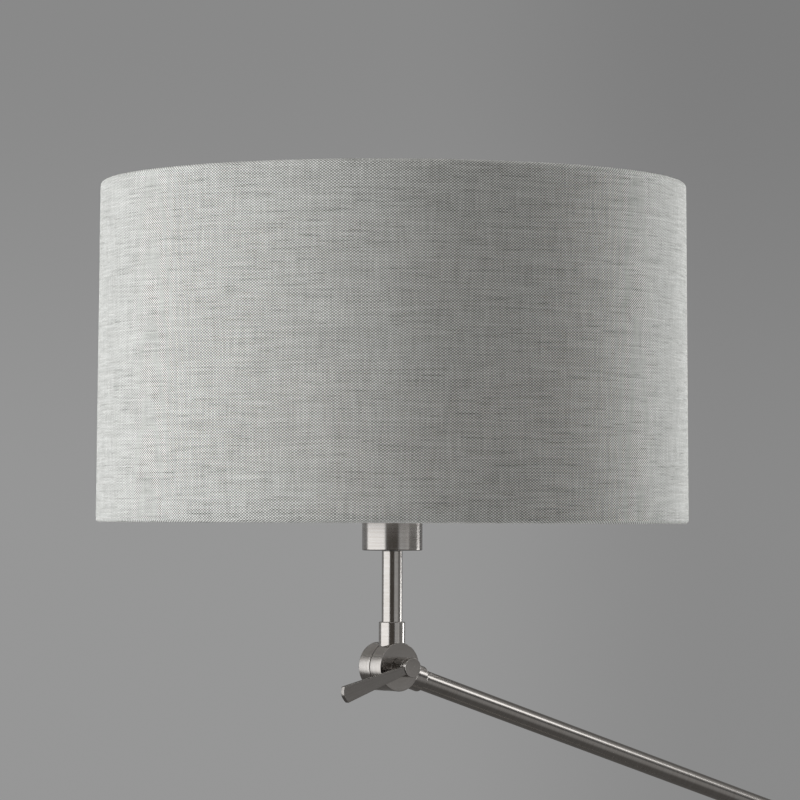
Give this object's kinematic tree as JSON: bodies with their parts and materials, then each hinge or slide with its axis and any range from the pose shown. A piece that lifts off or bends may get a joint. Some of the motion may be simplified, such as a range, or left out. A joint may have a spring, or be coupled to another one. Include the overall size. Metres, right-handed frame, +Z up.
{
  "type": "pharmacy floor lamp",
  "caption": "Floor lamp with a weighted round foot, a telescopic pole, an arm between locking lever elbows, and a fabric drum shade.",
  "frame": {"origin": "centre of the underside of the foot, on the floor", "axes": "+Z up along the pole, -X towards the lamp's head along the arm, -Y towards the elbow levers"},
  "size_m": [0.8763, 0.4, 1.5917],
  "materials": {
    "brushed_nickel": "nickel plated steel, brushed round the turned pieces and along the tubes",
    "cast_iron": "raw casting",
    "plain_steel": "zinc plated fasteners",
    "brass": "plain pressed brass",
    "rubber": "matt black rubber",
    "foam_pad": "closed cell foam",
    "nylon": "natural nylon",
    "moulded_plastic": "black thermoset moulding",
    "lead_sleeve": "sleeved two-core internal lead",
    "white_wire": "white powder coated wire",
    "shade_liner": "white translucent laminate",
    "linen": "light grey plain weave with slubs",
    "opal_glass": "opal white bulb"
  },
  "bodies": {
    "foot": {"base_pad": "foam_pad", "base_weight": "cast_iron", "base_cover": "brushed_nickel", "cord_gland": "rubber", "base_nipple": "plain_steel", "base_nut": "plain_steel", "base_washer": "plain_steel", "pole_foot_collar": "brushed_nickel", "pole_foot_plug": "plain_steel", "base_lead": "lead_sleeve", "lower_pole": "brushed_nickel", "clamp_collar": "brushed_nickel", "collar_bush": "nylon"},
    "clamp": {"clamp_screw": "plain_steel", "clamp_knob": "brushed_nickel"},
    "guide": {"guide_bush": "nylon"},
    "mast": {"upper_pole": "brushed_nickel", "pole_lead": "lead_sleeve", "pole_elbow_half": "brushed_nickel", "pole_grub_screw": "plain_steel", "pole_spacer": "brushed_nickel", "pole_friction_washer": "nylon"},
    "pole_handle": {"pole_lever": "brushed_nickel"},
    "arm": {"arm_lower_half": "brushed_nickel", "arm_lower_grub_screw": "plain_steel", "arm_tube": "brushed_nickel", "arm_lead": "lead_sleeve", "arm_upper_half": "brushed_nickel", "arm_upper_grub_screw": "plain_steel", "pole_spring_washer": "plain_steel", "pole_bolt": "plain_steel", "pole_rear_cap": "brushed_nickel", "head_spring_washer": "plain_steel", "head_bolt": "plain_steel", "head_rear_cap": "brushed_nickel"},
    "head": {"head_elbow_half": "brushed_nickel", "head_grub_screw": "plain_steel", "head_spacer": "brushed_nickel", "head_friction_washer": "nylon", "stem_tube": "brushed_nickel", "stem_lead": "lead_sleeve", "stem_nipple": "plain_steel", "stem_nut": "plain_steel", "socket_cup": "brushed_nickel", "lampholder_body": "moulded_plastic", "screw_shell": "brass", "centre_contact": "brass", "lower_ring_nut": "moulded_plastic", "upper_ring_nut": "moulded_plastic", "bulb_cap": "brass", "bulb_glass": "opal_glass", "spider_hub": "white_wire", "spoke_1": "white_wire", "spoke_2": "white_wire", "spoke_3": "white_wire", "bottom_ring": "white_wire", "top_ring": "white_wire", "shade_liner": "shade_liner", "shade_fabric": "linen"},
    "head_handle": {"head_lever": "brushed_nickel"}
  },
  "joints": [
    {"name": "clamp_turn", "type": "hinge", "parent": "foot", "child": "clamp", "pos_m": [0, 0, 0.706], "axis": [1, 0, 0], "range_deg": [-180, 0]},
    {"name": "pole_height", "type": "slide", "parent": "foot", "child": "guide", "axis": [0, 0, 1], "range_m": [-0.3, 0.25]},
    {"name": "pole_swivel", "type": "hinge", "parent": "guide", "child": "mast", "pos_m": [0, 0, 0.412], "axis": [0, 0, 1], "range_deg": [-170, 170]},
    {"name": "arm_tilt", "type": "hinge", "parent": "mast", "child": "arm", "pos_m": [0, 0, 1.1], "axis": [0, 1, 0], "range_deg": [-40, 60]},
    {"name": "pole_lever_turn", "type": "hinge", "parent": "mast", "child": "pole_handle", "pos_m": [0, -0.02, 1.1], "axis": [0, -1, 0], "range_deg": [0, 80]},
    {"name": "head_tilt", "type": "hinge", "parent": "arm", "child": "head", "pos_m": [-0.52454, 0, 1.26539], "axis": [0, 1, 0], "range_deg": [-90, 35]},
    {"name": "head_lever_turn", "type": "hinge", "parent": "head", "child": "head_handle", "pos_m": [-0.52454, -0.02, 1.26539], "axis": [0, -1, 0], "range_deg": [0, 80]}
  ]
}
